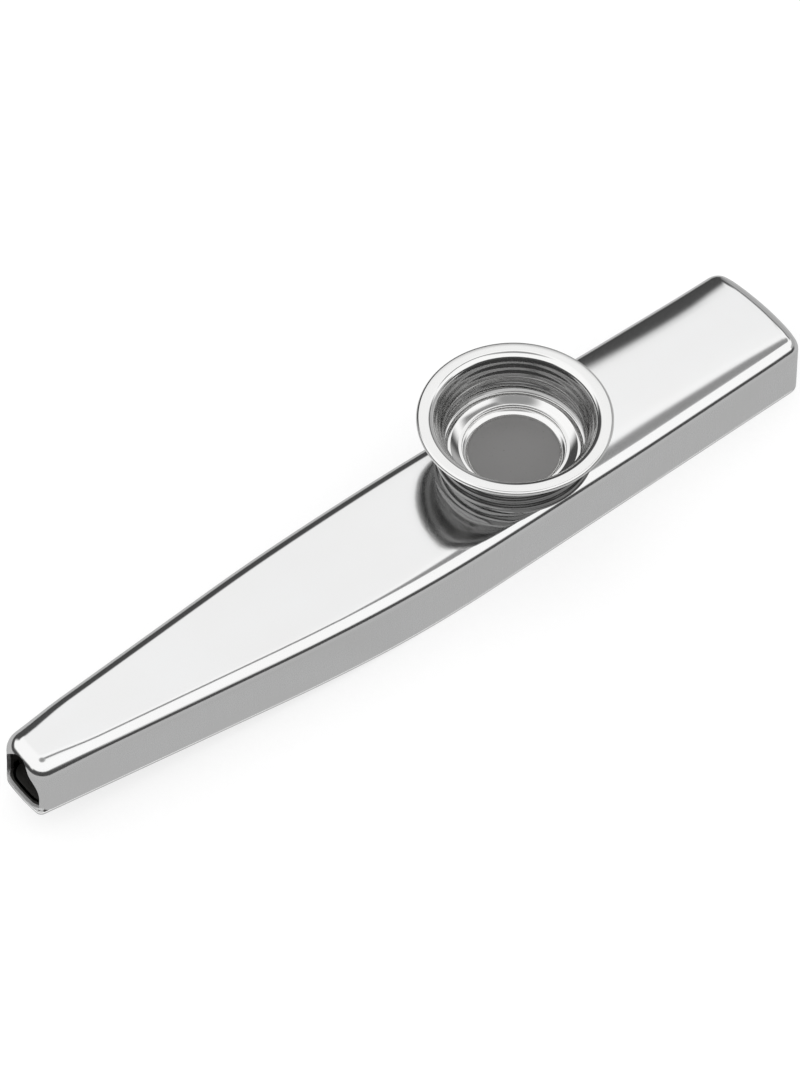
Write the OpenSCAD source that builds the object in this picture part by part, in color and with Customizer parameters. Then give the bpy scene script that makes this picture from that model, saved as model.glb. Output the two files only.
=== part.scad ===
// Metal kazoo with a screw-in turret.
// The body lies along X with its narrow mouth towards -X and its wide mouth towards +X.
// The origin is on the resting face, halfway along the body, and +Z points up.

/* [Body] */
// Length of the body
body_l = 121.8; // [100:0.2:140]
// Depth of the body under the turret
body_h = 9.6; // [8.6:0.1:11]
// Width at the narrow end, where the side lines would meet the end
narrow_w = 7.9; // [7.6:0.1:9.4]
// Width where the two side lines of one side would cross
widest_w = 18.7; // [17.6:0.1:20.6]
// Width at the wide end, where the side lines would meet the end
wide_w = 17.2; // [15:0.1:18]
// Place of the widest point along X
widest_x = -9.2; // [-14:0.1:-4]
// Radius that blends the two side lines
side_blend_r = 300; // [200:10:340]
// Plan radius of the shell's narrow corners
narrow_corner_r = 2.8; // [2.75:0.05:3]
// Plan radius of the base plate's narrow corners
narrow_foot_r = 0.8; // [0.5:0.1:2]
// Plan radius of the wide end's corners
wide_corner_r = 2.2; // [2.15:0.05:4]
// Plan radius of the narrow end wall
narrow_bow_r = 26; // [16:1:50]
// Plan radius of the wide end wall
wide_bow_r = 45; // [30:1:80]
// Radius of the top edge
edge_r = 2.1; // [1.4:0.05:2.15]
// Radius of the top edge at the narrow end
narrow_edge_r = 2.7; // [2.1:0.05:2.75]
// Length over which the top edge grows to that radius
narrow_edge_l = 8; // [6:0.5:12]
// How far the narrow end leans back from its foot
narrow_lean = 0.25; // [0:0.05:0.4]
// How far the wide end leans back from its foot
wide_lean = 0.4; // [0:0.05:0.5]
// Thickness of the sheet metal
sheet_t = 0.4; // [0.3:0.05:0.5]

/* [Kick of the narrow half] */
// Rise of the top at the narrow end
top_rise = 2.8; // [0.5:0.1:4]
// Rise of the base at the narrow end
base_rise = 4.1; // [1:0.1:5]
// Place of the bend along X
bend_x = -5.2; // [-8:0.1:-2]
// Radius of the bend in the top
top_bend_r = 400; // [250:10:440]
// Radius of the bend in the base
base_bend_r = 270; // [180:10:300]

/* [Base plate] */
// Thickness of the base plate
plate_t = 0.4; // [0.3:0.05:0.5]
// Height of the flange inside the walls, above the plate
flange_h = 1.6; // [1:0.1:2.5]
// Thickness of the flange
flange_t = 0.35; // [0.3:0.05:0.5]
// Gap between the plate with its flange and the shell
seam_gap = 0.03; // [0.02:0.01:0.05]

/* [Mouths] */
// Width of the narrow mouth
narrow_mouth_w = 6.8; // [5:0.1:6.9]
// Height of the narrow mouth's arch above its straight sides
narrow_arch_h = 5; // [4:0.1:5.6]
// Metal left above the narrow mouth
narrow_lip = 0.95; // [0.7:0.05:1.3]
// Height of the sill below the narrow mouth
narrow_sill_h = 0.8; // [0.6:0.1:1.8]
// Width of the wide mouth
wide_mouth_w = 11.4; // [9:0.1:12.6]
// Radius of the wide mouth's upper corners
wide_mouth_r = 2.4; // [1.5:0.1:3]
// Metal left above the wide mouth
wide_lip = 2.2; // [1.9:0.1:2.8]

/* [Turret socket] */
// Place of the turret's axis along X
turret_x = 17.2; // [12:0.1:22]
// Radius of the bore under the membrane
bore_r = 6.2; // [5.6:0.1:6.4]
// Wall of the spigot that passes through the sheet
spigot_wall = 0.4; // [0.3:0.05:0.5]
// Width of the spigot's spread lip beyond its wall
lip_w = 0.5; // [0.3:0.05:0.6]
// Thickness of the spigot's spread lip
lip_t = 0.35; // [0.25:0.05:0.5]
// Width of the membrane seat's top
seat_w = 0.7; // [0.5:0.05:0.9]
// Height of the membrane seat above the socket's floor
seat_h = 0.4; // [0.3:0.05:0.5]
// Thickness of the socket's floor
floor_t = 0.42; // [0.35:0.01:0.5]
// Inner radius of the socket's plain wall
socket_r = 9.45; // [9.4:0.01:9.5]
// Outer radius of the round between floor and wall
socket_round_r = 1.2; // [0.8:0.1:1.4]
// Height of the socket above the sheet
socket_h = 5.6; // [5:0.1:6]

/* [Thread] */
// Rise of the thread in one turn
pitch = 1.4; // [1.2:0.05:1.5]
// Depth of the rolled thread
thread_d = 0.36; // [0.3:0.02:0.4]
// Smallest radius of the cap's thread
thread_r = 9.42; // [9.4:0.01:9.44]
// Gap between the cap's thread and the socket's thread
thread_gap = 0.15; // [0.12:0.01:0.16]
// Thickness of the threaded walls
wall_t = 0.35; // [0.3:0.01:0.38]
// Height at which the socket's thread starts, above the sheet
socket_thread_z = 1.7; // [1.5:0.1:2]

/* [Turret cap] */
// Outer radius of the rim
rim_r = 12.55; // [12:0.05:13]
// Height of the rim above the sheet
rim_h = 8.3; // [7.8:0.1:8.8]
// Radius of the rolled rim
bead_r = 0.4; // [0.35:0.05:0.5]
// Height at which the cap's thread starts, above the sheet
cap_thread_z = 2.3; // [2.2:0.05:2.4]
// Height at which the flare starts, above the sheet
flare_z = 5.5; // [5.3:0.05:5.8]
// Radius of the round from the flare into the flange
flare_round_r = 1.05; // [0.9:0.05:1.6]
// Radius at which the flat flange starts
flange_r = 11.2; // [10.9:0.05:11.4]
// Depth of the flange below the top of the rim
flange_drop = 0.06; // [0:0.01:0.1]
// Thickness of the cap's hooks above and below the washer
hook_t = 0.22; // [0.2:0.01:0.25]
// Width of the cap's hook below the washer
hook_w = 0.45; // [0.4:0.01:0.5]
// Width of the bead above the washer
stop_w = 0.15; // [0.12:0.01:0.2]

/* [Membrane] */
// Inner radius of the membrane ring
ring_r = 5.95; // [5.6:0.05:6.1]
// Outer radius of the membrane ring
ring_outer_r = 8.2; // [8:0.05:8.3]
// Height of the membrane ring above the film
ring_h = 0.82; // [0.7:0.02:0.9]
// Width of the ring's sloping inner edge
ring_slope_w = 0.6; // [0.4:0.05:0.7]
// Depth of the ring's sloping inner edge
ring_slope_h = 0.3; // [0.2:0.05:0.4]
// Thickness of the film with its glue
film_t = 0.1; // [0.06:0.01:0.12]
// Width of the film beyond the bore that lies on the seat
film_lap = 0.5; // [0.4:0.05:0.6]

/* [Clamp washer] */
// Inner radius of the clamp washer
washer_r = 6.65; // [6.6:0.05:6.9]
// Thickness of the washer's sheet
washer_t = 0.4; // [0.35:0.01:0.42]
// Height of the washer's crown above its flat underside
crown_h = 0.85; // [0.7:0.05:0.9]
// Radius of the washer's crown
crown_r = 8.35; // [8.2:0.05:8.4]
// Width of the rounded crown
crown_w = 0.7; // [0.5:0.05:0.8]

/* [Clearances] */
// Radial clearance of the washer in the cap
washer_gap = 0.06; // [0.05:0.01:0.08]
// Gap between faces that lie on one another
rest_gap = 0.03; // [0.02:0.01:0.04]

/* [Hidden] */
$fn = 72;

// Reach of a cut beyond what it cuts
over = 1;
half_l = body_l / 2;

// Steps in each arc of the plan, from the wide end round to the narrow end
plan_steps = [3, 5, 12, 5, 2];
// Steps round the top edge
edge_steps = 5;
// Segments in a turn of the thread, and rows in one pitch
thread_segments = 36;
thread_rows = 6;
// Share of a pitch over which the thread starts and ends
fade_share = 0.35;

// Outlines of the body in plan: [narrow end, wide end, radius of the narrow corners]
head = [narrow_lean - half_l, half_l - wide_lean, narrow_corner_r];
foot = [-half_l, half_l, narrow_corner_r];
plate = [-half_l, half_l, narrow_foot_r];

// An outline is five arcs with straight stretches between them. An arc is
// [centre, radius, first angle, last angle], where the angles are those of its outward normal.
function ray(a) = [cos(a), sin(a)];
vertex = [widest_x, widest_w / 2];
narrow_a = 90 + atan((widest_w - narrow_w) / 2 / (widest_x + half_l));
wide_a = 90 - atan((widest_w - wide_w) / 2 / (half_l - widest_x));
half_turn = (narrow_a - wide_a) / 2;
blend_c = vertex - side_blend_r / cos(half_turn) * ray(wide_a + half_turn);
// Angle from a side line's normal to where the corner meets the end's bow
function corner_turn(bow_c, bow_r, corner_r, a) =
    acos(((vertex - bow_c) * ray(a) - corner_r) / (bow_r - corner_r));
function plan_arcs(outline) =
    let (corner_r = outline[2],
        narrow_c = [outline[0] + narrow_bow_r, 0],
        wide_c = [outline[1] - wide_bow_r, 0],
        narrow_turn_a = narrow_a + corner_turn(narrow_c, narrow_bow_r, corner_r, narrow_a),
        wide_turn_a = wide_a - corner_turn(wide_c, wide_bow_r, wide_corner_r, wide_a))
    [[wide_c, wide_bow_r, 0, wide_turn_a],
        [wide_c + (wide_bow_r - wide_corner_r) * ray(wide_turn_a), wide_corner_r, wide_turn_a, wide_a],
        [blend_c, side_blend_r, wide_a, narrow_a],
        [narrow_c + (narrow_bow_r - corner_r) * ray(narrow_turn_a), corner_r, narrow_a, narrow_turn_a],
        [narrow_c, narrow_bow_r, narrow_turn_a, 180]];

// Radius of the top edge, which grows towards the narrow end
function edge_at(x) =
    let (share = min(1, max(0, 1.25 - (half_l + x) / narrow_edge_l)))
    edge_r + (narrow_edge_r - edge_r) * share * share * (3 - 2 * share);

// Points [x, y, edge radius] of an outline, set in and then turned over the top edge by an angle.
// Arcs that run into the next one leave their shared point to it.
function arc_points(arc, k, inset, turn) =
    let (steps = plan_steps[k], first = k == 4 ? 1 : 0, last = k == 0 ? steps - 1 : steps)
    [for (i = [first:last])
        let (way = ray(arc[2] + (arc[3] - arc[2]) * i / steps),
            r = edge_at((arc[0] + arc[1] * way).x),
            p = arc[0] + (arc[1] - r + (r - inset) * cos(turn)) * way)
        [p.x, p.y, r]];
function plan(outline, inset, turn) =
    let (arcs = plan_arcs(outline),
        half = [for (k = [0:4]) each arc_points(arcs[k], k, inset, turn)],
        last = len(half) - 1)
    concat(half, [for (i = [last - 1:-1:1]) [half[i].x, -half[i].y, half[i].z]]);

// Rise of a face that bends up towards the narrow end
function kick(x, rise, r) =
    let (a = atan(rise / (bend_x + half_l)), from_bend = bend_x + r * tan(a / 2) - x)
    from_bend <= 0 ? 0
    : from_bend < r * sin(a) ? r - sqrt(r * r - from_bend * from_bend)
    : (bend_x - x) * tan(a);
function base_z(x) = kick(x, base_rise, base_bend_r);
function top_z(x) = body_h + kick(x, top_rise, top_bend_r);

// A ring that follows the base, and a ring of the rounded top edge
function base_ring(outline, inset, height) =
    [for (p = plan(outline, inset, 0)) [p.x, p.y, base_z(p.x) + height]];
function edge_ring(outline, inset, turn) =
    [for (p = plan(outline, inset, turn)) [p.x, p.y, top_z(p.x) - p.z + (p.z - inset) * sin(turn)]];

// Closed solid through rings, from the lowest up.
// Each end is a ladder of flat strips between the two sides.
module ringed(rings) {
    n = len(rings[0]);
    half = n / 2;
    sides = [for (j = [0:len(rings) - 2]) for (i = [0:n - 1])
        let (a = j * n + i, b = j * n + (i + 1) % n)
        each [[a, a + n, b + n], [a, b + n, b]]];
    function ladder(first) = [for (i = [0:half - 1])
        let (a = first + i, b = first + i + 1, c = first + (n - i - 1) % n, d = first + (n - i) % n)
        each [[a, b, c], [a, c, d]]];
    lowest = [for (f = ladder(0)) if (f[0] != f[1] && f[1] != f[2] && f[0] != f[2]) f];
    highest = [for (f = ladder(n * (len(rings) - 1)))
        if (f[0] != f[1] && f[1] != f[2] && f[0] != f[2]) [f[2], f[1], f[0]]];
    polyhedron([for (ring = rings) each ring], concat(sides, lowest, highest), convexity = 6);
}

// Body solid with a rounded top edge, set in by the thickness of the sheet.
// It stands on the plate and can reach down beyond it.
module body_solid(inset, reach) {
    ringed([if (reach > 0) base_ring(foot, inset, plate_t + seam_gap - reach),
        base_ring(foot, inset, plate_t + seam_gap),
        for (i = [0:edge_steps]) edge_ring(head, inset, 90 * i / edge_steps)]);
}

// Points of an arc in a profile
function round_points(c, r, first, last, steps) =
    [for (i = [0:steps]) c + r * ray(first + (last - first) * i / steps)];

// Cutters of the two mouths
module narrow_mouth() {
    spring = top_z(-half_l) - narrow_lip - narrow_arch_h;
    floor_z = base_rise + narrow_sill_h;
    side = narrow_mouth_w / 2;
    depth = narrow_lean + narrow_corner_r + sheet_t;
    arch = [for (i = [0:12]) [side * cos(15 * i), spring + narrow_arch_h * sin(15 * i)]];
    translate([-half_l - over, 0, 0]) rotate([90, 0, 90])
        linear_extrude(over + depth)
            polygon(concat([[-side, floor_z], [side, floor_z]], arch));
}
module wide_mouth(floor_z) {
    crown = body_h - wide_lip;
    side = wide_mouth_w / 2;
    depth = wide_lean + wide_corner_r + sheet_t;
    right = round_points([side - wide_mouth_r, crown - wide_mouth_r], wide_mouth_r, 0, 90, 6);
    left = round_points([wide_mouth_r - side, crown - wide_mouth_r], wide_mouth_r, 90, 180, 6);
    translate([half_l - depth, 0, 0]) rotate([90, 0, 90])
        linear_extrude(over + depth)
            polygon(concat([[-side, floor_z], [side, floor_z]], right, left));
}

module upper_shell() color("silver") {
    difference() {
        body_solid(0, 0);
        body_solid(sheet_t, over);
        narrow_mouth();
        wide_mouth(-over);
        translate([turret_x, 0, body_h - over])
            cylinder(h = 2 * over, r = bore_r + spigot_wall + rest_gap);
    }
}

module base_plate() color("silver") {
    outside = sheet_t + seam_gap;
    inside = outside + flange_t;
    top = plate_t + flange_h;
    ringed([base_ring(plate, 0, 0), base_ring(plate, 0, plate_t)]);
    difference() {
        ringed([base_ring(head, outside, plate_t / 2), base_ring(head, outside, top)]);
        ringed([base_ring(head, inside, -over), base_ring(head, inside, top + over)]);
        narrow_mouth();
        wide_mouth(0);
    }
}

// Heights in the turret, above the sheet
socket_floor_z = rest_gap + floor_t;
seat_z = socket_floor_z + seat_h;
seat_foot_r = bore_r + seat_w + seat_h / 2;
film_z = seat_z + rest_gap;
ring_z = film_z + film_t + rest_gap;
ring_top_z = ring_z + ring_h;
washer_z = ring_top_z + rest_gap;
// Inner radius of the cap's wall above its thread's roots, and of its plain foot round the washer
cap_inner_r = thread_r - wall_t;
cap_foot_r = cap_inner_r - wall_t / 3;
// Height of the band in which a thread's plain end and the wall beside it are one
thread_lap = fade_share * pitch / 2;

// Angle of the line from a point to the near side of a circle
function tangent_a(from, c, r) = atan2(c.y - from.y, c.x - from.x) + asin(r / norm(c - from));

// Rolled thread: a thin wall whose two faces rise and fall together along a right-hand helix.
// male is true for a wall that bulges out, false for one that is drawn in.
function crest_share(a, z) = (1 + cos(360 * z / pitch - a)) / 2;
function thread_radius(a, z, fade, male) = male
    ? thread_r + thread_d * crest_share(a, z) * fade
    : thread_r + thread_gap + thread_d * (1 - (1 - crest_share(a, z)) * fade);
module threaded_wall(foot, top, male) {
    rows = ceil(thread_rows * (top - foot) / pitch);
    fade_l = fade_share * pitch;
    n = thread_segments;
    shift = male ? -wall_t : wall_t;
    function row(j, side) = [for (i = [0:n - 1])
        let (z = foot + (top - foot) * j / rows, a = 360 * i / n,
            fade = min(1, (z - foot) / fade_l, (top - z) / fade_l),
            r = thread_radius(a, z, fade, male) + side * shift)
        [r * cos(a), r * sin(a), z]];
    mating = [for (j = [0:rows]) each row(j, 0)];
    other = [for (j = [0:rows]) each row(j, 1)];
    count = len(mating);
    outer = male ? 0 : count;
    inner = male ? count : 0;
    walls = [for (j = [0:rows - 1]) for (i = [0:n - 1])
        let (a = j * n + i, b = j * n + (i + 1) % n)
        each [[outer + a, outer + a + n, outer + b + n], [outer + a, outer + b + n, outer + b],
            [inner + a, inner + b + n, inner + a + n], [inner + a, inner + b, inner + b + n]]];
    ends = [for (i = [0:n - 1])
        let (a = i, b = (i + 1) % n, high = rows * n)
        each [[outer + a, outer + b, inner + b], [outer + a, inner + b, inner + a],
            [outer + high + a, inner + high + b, outer + high + b],
            [outer + high + a, inner + high + a, inner + high + b]]];
    polyhedron(concat(mating, other), concat(walls, ends), convexity = 8);
}

module at_turret() {
    translate([turret_x, 0, body_h]) children();
}

module turret_socket() color("lightgray") at_turret() {
    wall_r = socket_r + wall_t;
    under = -sheet_t - rest_gap;
    spigot_r = bore_r + spigot_wall;
    // The wall steps out here to meet the thread, whose plain ends lie at its widest.
    step_in_r = thread_r + thread_gap + thread_d;
    step_r = step_in_r + wall_t;
    skin = wall_t / 6;
    rotate_extrude()
        polygon(concat(
            [[bore_r, under - lip_t], [spigot_r + lip_w, under - lip_t], [spigot_r + lip_w, under],
                [spigot_r, under], [spigot_r, rest_gap]],
            round_points([wall_r - socket_round_r, rest_gap + socket_round_r], socket_round_r, -90, 0, 6),
            [[step_r - skin, socket_thread_z], [step_r - skin, socket_thread_z + thread_lap],
                [step_in_r + skin, socket_thread_z + thread_lap], [step_in_r + skin, socket_thread_z],
                [socket_r, rest_gap + socket_round_r]],
            round_points([wall_r - socket_round_r, rest_gap + socket_round_r],
                socket_round_r - wall_t, 0, -60, 4),
            [[wall_r - socket_round_r, socket_floor_z], [seat_foot_r, socket_floor_z],
                [bore_r + seat_w, seat_z], [bore_r, seat_z]]));
    threaded_wall(socket_thread_z, socket_h, false);
}

module turret_cap() color("gainsboro") at_turret() {
    foot_r = cap_foot_r;
    hook_z = washer_z - rest_gap - hook_t;
    stop_z = washer_z + washer_t + rest_gap;
    // The flare starts within the thickness of the threaded wall's plain top, rises in a straight
    // line and rounds into the flat flange.
    skin = wall_t / 6;
    inner_foot = [cap_inner_r + skin, flare_z];
    outer_foot = [thread_r - skin, flare_z];
    round_c = [flange_r, rim_h - flange_drop - flare_round_r];
    outer_round_r = flare_round_r - wall_t;
    inner_a = 90 + tangent_a(inner_foot, round_c, flare_round_r);
    outer_a = 90 + tangent_a(outer_foot, round_c, outer_round_r);
    lip_r = rim_r - bead_r;
    rotate_extrude()
        polygon(concat(
            [[inner_foot.x, flare_z - thread_lap], inner_foot],
            round_points(round_c, flare_round_r, inner_a, 90, 8),
            [[lip_r, rim_h - flange_drop], [lip_r, rim_h - flange_drop - wall_t]],
            round_points(round_c, outer_round_r, 90, outer_a, 8),
            [outer_foot, [outer_foot.x, flare_z - thread_lap]]));
    rotate_extrude()
        translate([lip_r, rim_h - bead_r]) circle(r = bead_r, $fn = 24);
    rotate_extrude()
        polygon([[foot_r - hook_w, hook_z], [foot_r + wall_t, hook_z],
            [foot_r + wall_t, cap_thread_z + thread_lap], [cap_inner_r + skin, cap_thread_z + thread_lap],
            [foot_r, stop_z + hook_t], [foot_r - stop_w, stop_z + hook_t / 2], [foot_r - stop_w, stop_z],
            [foot_r, stop_z], [foot_r, hook_z + hook_t], [foot_r - hook_w, hook_z + hook_t]]);
    threaded_wall(cap_thread_z, flare_z, true);
}

module clamp_washer() color("white") at_turret() {
    edge = cap_foot_r - washer_gap;
    round_r = crown_w / 2;
    translate([0, 0, washer_z]) rotate_extrude()
        polygon(concat([[washer_r, 0], [edge, 0], [edge, washer_t], [crown_r + round_r, washer_t]],
            round_points([crown_r, crown_h - round_r], round_r, 0, 150, 8),
            [[washer_r, washer_t]]));
}

module membrane_ring() color("whitesmoke") at_turret() {
    skirt_r = seat_foot_r + rest_gap;
    rotate_extrude()
        polygon([[ring_r, ring_z], [skirt_r, ring_z], [skirt_r, socket_floor_z + rest_gap],
            [ring_outer_r, socket_floor_z + rest_gap], [ring_outer_r, ring_top_z],
            [ring_r + ring_slope_w, ring_top_z], [ring_r, ring_top_z - ring_slope_h]]);
}

module membrane_film() color("dimgray") at_turret() {
    translate([0, 0, film_z]) cylinder(h = film_t, r = bore_r + film_lap);
}

upper_shell();
base_plate();
turret_socket();
turret_cap();
clamp_washer();
membrane_ring();
membrane_film();
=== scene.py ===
import logging
import math
from dataclasses import dataclass, field
from enum import Enum
from functools import partial
from typing import Callable, Sequence

import bmesh
import bpy
import numpy as np
from mathutils import Matrix, Vector


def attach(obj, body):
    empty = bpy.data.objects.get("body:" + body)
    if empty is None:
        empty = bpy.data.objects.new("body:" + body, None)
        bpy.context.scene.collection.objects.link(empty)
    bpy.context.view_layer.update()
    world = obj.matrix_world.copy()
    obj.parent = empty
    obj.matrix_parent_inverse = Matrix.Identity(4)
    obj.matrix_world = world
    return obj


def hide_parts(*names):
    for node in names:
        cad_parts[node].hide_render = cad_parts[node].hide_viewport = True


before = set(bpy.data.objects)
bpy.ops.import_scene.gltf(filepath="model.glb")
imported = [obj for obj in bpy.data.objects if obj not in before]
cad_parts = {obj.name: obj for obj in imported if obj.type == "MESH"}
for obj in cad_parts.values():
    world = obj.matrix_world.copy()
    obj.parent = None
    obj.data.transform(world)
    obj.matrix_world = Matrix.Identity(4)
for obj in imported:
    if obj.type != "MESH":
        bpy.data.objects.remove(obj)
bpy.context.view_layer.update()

LOG = logging.getLogger("kazoo")
# Sizes are in millimetres until finish_piece turns a piece into metres.
MM = 0.001
# Distances that count as meeting.
MERGE_MM = 0.002
FINE_MERGE_MM = 0.0002
SMOOTH_ANGLE = math.radians(38.0)
# Number and strength of a noise's finer layers.
CRISP = (3.0, 0.6)
GRAINY = (2.0, 0.6)

Point = tuple[float, float, float]
# A point in plan or in a turned part's section.
Spot = tuple[float, float]
# First angle, last angle and steps of an arc.
Sweep = tuple[float, float, int]
# Two values of one kind, such as a start and an end.
Pair = tuple[float, float]
# Gives a vertex of a ring its place and its lay.
Place = Callable[[int], tuple[Point, Point]]


# ---------------------------------------------------------------- shader maths


def _maths(operation: str) -> Callable[..., "Value"]:
    """Makes a method that adds one Math node.

    Args:
        operation: the Math node's operation.

    Returns:
        The method, which takes the operands in order.
    """

    def method(*terms: "Value | float") -> "Value":
        """Adds the node; the first operand is the value itself."""
        return terms[0].graph.add("ShaderNodeMath", {"operation": operation}, dict(enumerate(terms)))

    return method


class Value:
    """A node's output that can stand in a sum."""

    def __init__(self, graph: "Graph", socket: bpy.types.NodeSocket) -> None:
        """Keeps the output that it stands for, with the graph that new nodes go into."""
        self.graph = graph
        self.socket = socket

    __add__ = __radd__ = _maths("ADD")
    __sub__ = _maths("SUBTRACT")
    __mul__ = __rmul__ = _maths("MULTIPLY")
    __truediv__ = _maths("DIVIDE")
    __pow__ = _maths("POWER")
    magnitude = _maths("ABSOLUTE")
    larger = _maths("MAXIMUM")
    smaller = _maths("MINIMUM")

    def __rsub__(self, other: float) -> "Value":
        """Difference from a number."""
        return self.graph.add("ShaderNodeMath", {"operation": "SUBTRACT"}, {0: other, 1: self})

    def ramp(self, start: float, end: float) -> "Value":
        """Soft step from 0 at one value to 1 at another."""
        sockets = {"Value": self, "From Min": start, "From Max": end}
        return self.graph.add("ShaderNodeMapRange", {"interpolation_type": "SMOOTHSTEP"}, sockets)

    def swing(self, amount: float) -> "Value":
        """Turns noise from 0 to 1 into a swing of an amount round nothing."""
        return (self - 0.5) * amount


class Graph:
    """Nodes of one material or of the world."""

    def __init__(self, tree: bpy.types.NodeTree) -> None:
        """Empties the tree that it is to fill."""
        self.tree = tree
        tree.nodes.clear()

    def node(self, kind: str, settings: dict | None = None, inputs: dict | None = None) -> bpy.types.Node:
        """Adds a node, sets it, then fills its sockets.

        Args:
            kind: the node's type.
            settings: its properties, set first.
            inputs: values or links by the socket's name or place.

        Returns:
            The node.
        """
        made = self.tree.nodes.new(kind)
        for name, value in (settings or {}).items():
            setattr(made, name, value)
        for name, value in (inputs or {}).items():
            source = value.socket if isinstance(value, Value) else value
            if isinstance(source, bpy.types.NodeSocket):
                self.tree.links.new(source, made.inputs[name])
            else:
                made.inputs[name].default_value = value
        return made

    def add(
        self, kind: str, settings: dict | None = None, inputs: dict | None = None, output: str | int = 0
    ) -> Value:
        """Adds a node like node() and gives one of its outputs, by name or place."""
        return Value(self, self.node(kind, settings, inputs).outputs[output])

    def parts(self, vector: Value) -> tuple[Value, Value, Value]:
        """The three parts of a vector."""
        split = self.node("ShaderNodeSeparateXYZ", inputs={0: vector})
        return tuple(Value(self, out) for out in split.outputs)

    def vector(self, x: Value | float, y: Value | float, z: Value | float = 0.0) -> Value:
        """A vector of three parts."""
        return self.add("ShaderNodeCombineXYZ", inputs={0: x, 1: y, 2: z})

    def noise(self, place: Value, scale: float, detail: float = 2.0, rough: float = 0.5) -> Value:
        """Soft noise from 0 to 1, by features per unit and the number and strength of finer layers."""
        sockets = {"Vector": place, "Scale": scale, "Detail": detail, "Roughness": rough}
        return self.add("ShaderNodeTexNoise", {"noise_dimensions": "3D"}, sockets)

    def lay(self) -> tuple[Value, Value, Value]:
        """The three parts of the attribute that the bench lays on each vertex."""
        return self.parts(self.add("ShaderNodeAttribute", {"attribute_name": "lay"}, output="Vector"))

    def blend(self, share: Value | float, low: Value | Sequence, high: Value | Sequence) -> Value:
        """Mixes two colours by the share of the second."""
        sockets = {0: share, 6: low, 7: high}
        return self.add("ShaderNodeMix", {"data_type": "RGBA"}, sockets, output=2)

    def bump(self, height: Value, distance: float) -> Value:
        """Turns a height from 0 to 1, which stands for a distance in metres, into a normal."""
        return self.add("ShaderNodeBump", inputs={"Height": height, "Distance": distance, "Strength": 1.0})

    def surface(
        self, tint: Value | Sequence, shade: Value, gloss: Value, normal: Value | None, metal: float = 1.0
    ) -> None:
        """Ends the graph in a Principled shader.

        Args:
            tint: the colour of full brightness.
            shade: the brightness.
            gloss: the roughness.
            normal: the bumped normal.
            metal: 1 for metal, 0 for film.
        """
        sockets = {"Base Color": self.blend(shade, grey(0.0), tint), "Metallic": metal, "Roughness": gloss}
        if normal is not None:
            sockets["Normal"] = normal
        shader = self.node("ShaderNodeBsdfPrincipled", inputs=sockets)
        self.node("ShaderNodeOutputMaterial", inputs={"Surface": shader.outputs[0]})


def grey(tone: float) -> tuple[float, float, float, float]:
    """A grey as a colour."""
    return (tone, tone, tone, 1.0)


# -------------------------------------------------------------------- finishes


def new_material(name: str) -> tuple[bpy.types.Material, Graph]:
    """Makes an empty material.

    Args:
        name: its name.

    Returns:
        The material and the graph of its nodes.
    """
    made = bpy.data.materials.new(name)
    made.use_nodes = True
    return made, Graph(made.node_tree)


@dataclass(frozen=True)
class SheetFinish:
    """Drawn and polished sheet: bright on top, satin with upright draw marks down the walls."""

    name: str = "polished_sheet"
    tone: float = 0.90
    wall_tone: float = 0.84
    top_gloss: float = 0.12
    wall_gloss: float = 0.27
    satin_span: Pair = (0.68, 0.9)
    marks_per_mm: Pair = (5.0, 0.22)
    strokes_per_mm: Pair = (1.3, 0.12)
    clouds_per_mm: Pair = (0.09, 0.16)
    layers: Pair = (7.0, 3.0)
    mark_share: float = 0.35
    mark_depth: float = 0.0000016
    mark_gloss: float = 0.04
    cloud_gloss: float = 0.03
    cloud_tone: float = 0.05
    stroke_tone: float = 0.03
    warm: tuple[float, ...] = (1.0, 0.996, 0.99, 1.0)
    cool: tuple[float, ...] = (0.99, 0.995, 1.0, 1.0)

    def material(self) -> bpy.types.Material:
        """Makes the sheet's material from the attribute that follows the sheet.

        Returns:
            The material.
        """
        made, g = new_material(self.name)
        along, across, wall = g.lay()

        def streaks(per_mm: Pair, layer: float, *detail: float) -> Value:
            """Noise with its own number of features along and across the sheet."""
            return g.noise(g.vector(along * per_mm[0], across * per_mm[1], layer), 1.0, *detail)

        marks = streaks(self.marks_per_mm, 0.0, *CRISP)
        strokes = streaks(self.strokes_per_mm, self.layers[0])
        clouds = streaks(self.clouds_per_mm, self.layers[1])
        satin = wall.ramp(*self.satin_span)
        gloss = satin * (self.wall_gloss - self.top_gloss) + self.top_gloss
        gloss = gloss + marks.swing(self.mark_gloss) + clouds.swing(self.cloud_gloss)
        shade = satin * (self.wall_tone - self.tone) + self.tone
        shade = shade + clouds.swing(self.cloud_tone) + strokes.swing(self.stroke_tone) * satin
        height = marks * self.mark_share + strokes * (1.0 - self.mark_share)
        g.surface(g.blend(clouds, self.warm, self.cool), shade, gloss, g.bump(height, self.mark_depth))
        return made


@dataclass(frozen=True)
class InsideShadeFinish:
    """The inner side of the sheet: rough and unpolished, and painted near black as painted shade inside the
    body.
    """

    name: str = "inside_painted_shade"
    # Painted shade: the near-black tone stands for the shadow inside the body.
    tone: float = 0.09
    gloss: float = 0.5
    stains_per_m: float = 260.0
    stain_tone: float = 0.08
    stain_gloss: float = 0.2
    tint: tuple[float, ...] = (1.0, 0.97, 0.93, 1.0)

    def material(self) -> bpy.types.Material:
        """Makes the inner side's material.

        Returns:
            The material.
        """
        made, g = new_material(self.name)
        stains = g.noise(g.add("ShaderNodeTexCoord", output="Object"), self.stains_per_m, *CRISP)
        gloss = stains.swing(self.stain_gloss) + self.gloss
        g.surface(self.tint, stains.swing(self.stain_tone) + self.tone, gloss, None)
        return made


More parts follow.
